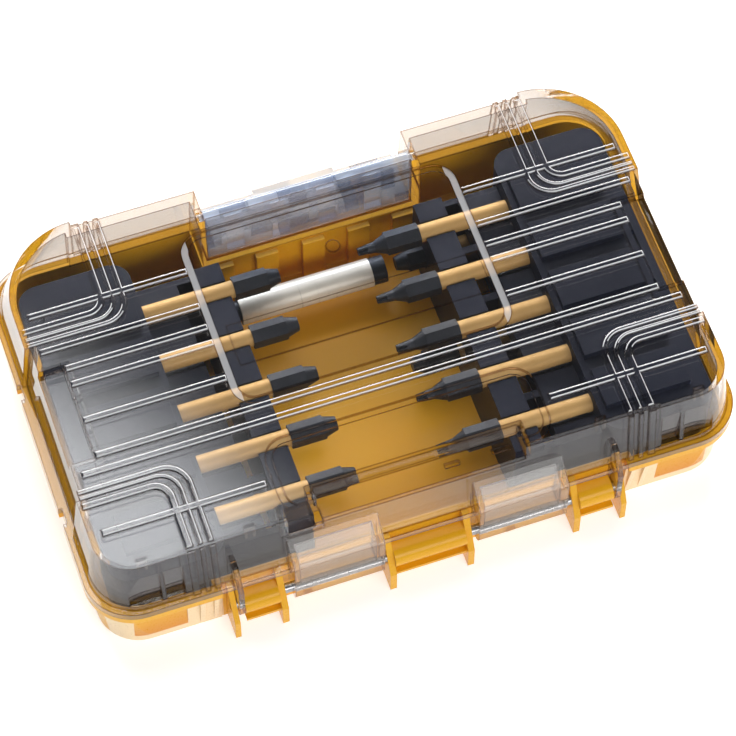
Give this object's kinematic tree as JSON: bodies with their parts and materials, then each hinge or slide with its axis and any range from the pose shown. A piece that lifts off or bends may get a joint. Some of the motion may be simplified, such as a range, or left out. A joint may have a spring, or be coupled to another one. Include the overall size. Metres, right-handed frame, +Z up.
{
  "type": "bit set case",
  "caption": "Hinged screwdriver bit case: amber base, clear ribbed lid with a snap latch flap, dark trays holding bits in two tiers, and a magnetic bit holder.",
  "frame": {"origin": "centre of the whole case's bounding box, on the table plane under the base", "axes": "+X along the case's long side, +Y from the hinge side to the latch side, +Z up"},
  "size_m": [0.2, 0.1324, 0.0465],
  "materials": {
    "base_plastic": "glossy moulded plastic",
    "lid_clear": "clear moulded plastic",
    "latch_clear": "clear moulded plastic, slightly blue",
    "tray_plastic": "dark satin plastic",
    "pin_steel": "plain drawn steel",
    "sleeve_coating": "pale gold coating",
    "bit_steel": "black oxide",
    "holder_steel": "satin turned steel",
    "magnet": "plain",
    "holder_black": "black oxide"
  },
  "bodies": {
    "base": {"base_shell": "base_plastic", "left_tray": "tray_plastic", "right_tray": "tray_plastic", "hinge_pin_left": "pin_steel", "hinge_pin_right": "pin_steel", "holder_shank": "holder_black", "holder_magnet": "magnet"},
    "lid": {"lid_shell": "lid_clear"},
    "latch": {"latch_flap": "latch_clear"},
    "holder_tube": {"holder_tube": "holder_steel", "holder_collar": "holder_black"},
    "left_bit_1": {"left_bit_1": "bit_steel", "left_sleeve_1": "sleeve_coating"},
    "left_bit_2": {"left_bit_2": "bit_steel", "left_sleeve_2": "sleeve_coating"},
    "left_bit_3": {"left_bit_3": "bit_steel", "left_sleeve_3": "sleeve_coating"},
    "left_bit_4": {"left_bit_4": "bit_steel", "left_sleeve_4": "sleeve_coating"},
    "left_bit_5": {"left_bit_5": "bit_steel", "left_sleeve_5": "sleeve_coating"},
    "right_bit_1": {"right_bit_1": "bit_steel", "right_sleeve_1": "sleeve_coating"},
    "right_bit_2": {"right_bit_2": "bit_steel", "right_sleeve_2": "sleeve_coating"},
    "right_bit_3": {"right_bit_3": "bit_steel", "right_sleeve_3": "sleeve_coating"},
    "right_bit_4": {"right_bit_4": "bit_steel", "right_sleeve_4": "sleeve_coating"},
    "right_bit_5": {"right_bit_5": "bit_steel", "right_sleeve_5": "sleeve_coating"},
    "lower_bit_1": {"lower_bit_1": "bit_steel", "lower_sleeve_1": "sleeve_coating"},
    "lower_bit_3": {"lower_bit_3": "bit_steel", "lower_sleeve_3": "sleeve_coating"}
  },
  "joints": [
    {"name": "lid_hinge", "type": "hinge", "parent": "base", "child": "lid", "pos_m": [0, -0.0619, 0.0135], "axis": [1, 0, 0], "range_deg": [0, 120]},
    {"name": "latch_hinge", "type": "hinge", "parent": "lid", "child": "latch", "pos_m": [0, 0.0492, 0.0422], "axis": [1, 0, 0], "range_deg": [0, 35]},
    {"name": "holder_slide", "type": "slide", "parent": "base", "child": "holder_tube", "axis": [-1, 0, 0], "range_m": [0, 0.008]},
    {"name": "left_bit_1_slide", "type": "slide", "parent": "base", "child": "left_bit_1", "axis": [1, 0, 0], "range_m": [0, 0.01]},
    {"name": "left_bit_2_slide", "type": "slide", "parent": "base", "child": "left_bit_2", "axis": [1, 0, 0], "range_m": [0, 0.01]},
    {"name": "left_bit_3_slide", "type": "slide", "parent": "base", "child": "left_bit_3", "axis": [1, 0, 0], "range_m": [0, 0.01]},
    {"name": "left_bit_4_slide", "type": "slide", "parent": "base", "child": "left_bit_4", "axis": [1, 0, 0], "range_m": [0, 0.01]},
    {"name": "left_bit_5_slide", "type": "slide", "parent": "base", "child": "left_bit_5", "axis": [1, 0, 0], "range_m": [0, 0.01]},
    {"name": "right_bit_1_slide", "type": "slide", "parent": "base", "child": "right_bit_1", "axis": [-1, 0, 0], "range_m": [0, 0.01]},
    {"name": "right_bit_2_slide", "type": "slide", "parent": "base", "child": "right_bit_2", "axis": [-1, 0, 0], "range_m": [0, 0.01]},
    {"name": "right_bit_3_slide", "type": "slide", "parent": "base", "child": "right_bit_3", "axis": [-1, 0, 0], "range_m": [0, 0.01]},
    {"name": "right_bit_4_slide", "type": "slide", "parent": "base", "child": "right_bit_4", "axis": [-1, 0, 0], "range_m": [0, 0.01]},
    {"name": "right_bit_5_slide", "type": "slide", "parent": "base", "child": "right_bit_5", "axis": [-1, 0, 0], "range_m": [0, 0.01]},
    {"name": "lower_bit_1_slide", "type": "slide", "parent": "base", "child": "lower_bit_1", "axis": [-1, 0, 0], "range_m": [0, 0.003]},
    {"name": "lower_bit_3_slide", "type": "slide", "parent": "base", "child": "lower_bit_3", "axis": [-1, 0, 0], "range_m": [0, 0.01]}
  ]
}
